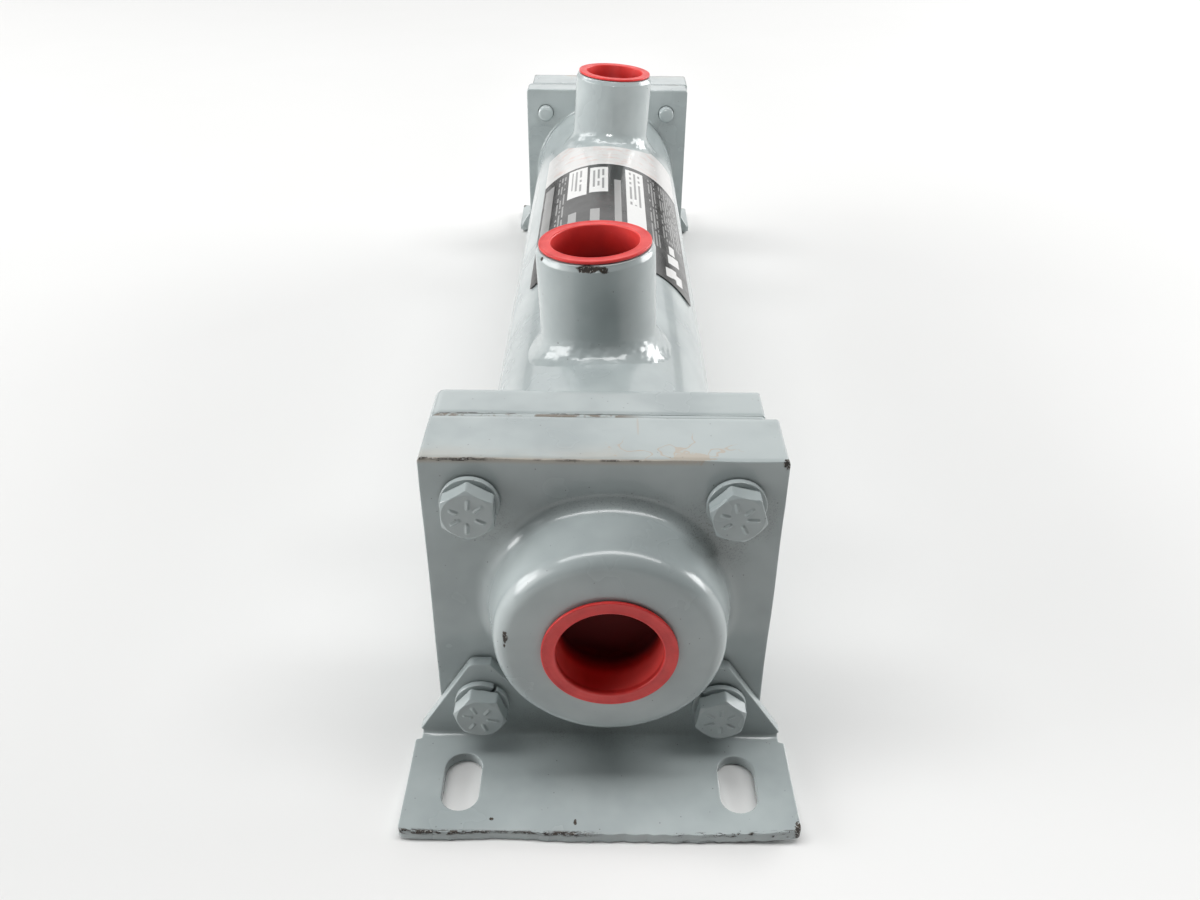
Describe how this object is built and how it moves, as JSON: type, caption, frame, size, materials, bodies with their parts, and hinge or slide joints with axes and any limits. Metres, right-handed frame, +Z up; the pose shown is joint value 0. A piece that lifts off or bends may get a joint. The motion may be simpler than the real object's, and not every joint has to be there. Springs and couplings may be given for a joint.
{
  "type": "hydraulic oil cooler",
  "caption": "Shell-and-tube oil cooler with square bolted end bonnets, oil ports on top, water ports at the ends, foot brackets and pull-out plastic port plugs.",
  "frame": {"origin": "bottom centre of the bounding box, on the plane the feet stand on, midway between the two ends", "axes": "+Y along the shell towards the rear bonnet, +X across it, +Z up through the oil ports; the front bonnet is at -Y"},
  "size_m": [0.1028, 0.4668, 0.1151],
  "materials": {
    "blue_grey_paint": "glossy light blue-grey enamel over steel and cast iron",
    "red_plastic": "smooth red polyethylene",
    "copper_tube": "drawn copper",
    "brass_sheet": "machined naval brass",
    "baffle_steel": "punched sheet steel",
    "gasket_fibre": "pressed fibre gasket",
    "label_black": "printed foil label"
  },
  "bodies": {
    "cooler": {"shell_tube": "blue_grey_paint", "tube_01": "copper_tube", "tube_02": "copper_tube", "tube_03": "copper_tube", "tube_04": "copper_tube", "tube_05": "copper_tube", "tube_06": "copper_tube", "tube_07": "copper_tube", "tube_08": "copper_tube", "tube_09": "copper_tube", "tube_10": "copper_tube", "tube_11": "copper_tube", "tube_12": "copper_tube", "tube_13": "copper_tube", "tube_14": "copper_tube", "tube_15": "copper_tube", "tube_16": "copper_tube", "tube_17": "copper_tube", "tube_18": "copper_tube", "tube_19": "copper_tube", "baffle_1": "baffle_steel", "baffle_2": "baffle_steel", "baffle_3": "baffle_steel", "front_bonnet": "blue_grey_paint", "front_gasket": "gasket_fibre", "front_hub": "blue_grey_paint", "front_tube_sheet": "brass_sheet", "front_oil_coupling": "blue_grey_paint", "front_foot_bracket": "blue_grey_paint", "front_bolt_upper_left": "blue_grey_paint", "front_lock_washer_upper_left": "blue_grey_paint", "front_bolt_upper_right": "blue_grey_paint", "front_lock_washer_upper_right": "blue_grey_paint", "front_bolt_lower_left": "blue_grey_paint", "front_lock_washer_lower_left": "blue_grey_paint", "front_bolt_lower_right": "blue_grey_paint", "front_lock_washer_lower_right": "blue_grey_paint", "rear_bonnet": "blue_grey_paint", "rear_gasket": "gasket_fibre", "rear_hub": "blue_grey_paint", "rear_tube_sheet": "brass_sheet", "rear_oil_coupling": "blue_grey_paint", "rear_foot_bracket": "blue_grey_paint", "rear_bolt_upper_left": "blue_grey_paint", "rear_lock_washer_upper_left": "blue_grey_paint", "rear_bolt_upper_right": "blue_grey_paint", "rear_lock_washer_upper_right": "blue_grey_paint", "rear_bolt_lower_left": "blue_grey_paint", "rear_lock_washer_lower_left": "blue_grey_paint", "rear_bolt_lower_right": "blue_grey_paint", "rear_lock_washer_lower_right": "blue_grey_paint", "name_label": "label_black"},
    "front_water_plug": {"front_water_plug": "red_plastic"},
    "front_oil_plug": {"front_oil_plug": "red_plastic"},
    "rear_water_plug": {"rear_water_plug": "red_plastic"},
    "rear_oil_plug": {"rear_oil_plug": "red_plastic"}
  },
  "joints": [
    {"name": "front_water_plug_pull", "type": "slide", "parent": "cooler", "child": "front_water_plug", "axis": [0, -1, 0], "range_m": [0, 0.03]},
    {"name": "front_oil_plug_pull", "type": "slide", "parent": "cooler", "child": "front_oil_plug", "axis": [-0.0419, 0, 0.9991], "range_m": [0, 0.03]},
    {"name": "rear_water_plug_pull", "type": "slide", "parent": "cooler", "child": "rear_water_plug", "axis": [0, 1, 0], "range_m": [0, 0.03]},
    {"name": "rear_oil_plug_pull", "type": "slide", "parent": "cooler", "child": "rear_oil_plug", "axis": [0.0523, 0, 0.9986], "range_m": [0, 0.03]}
  ]
}
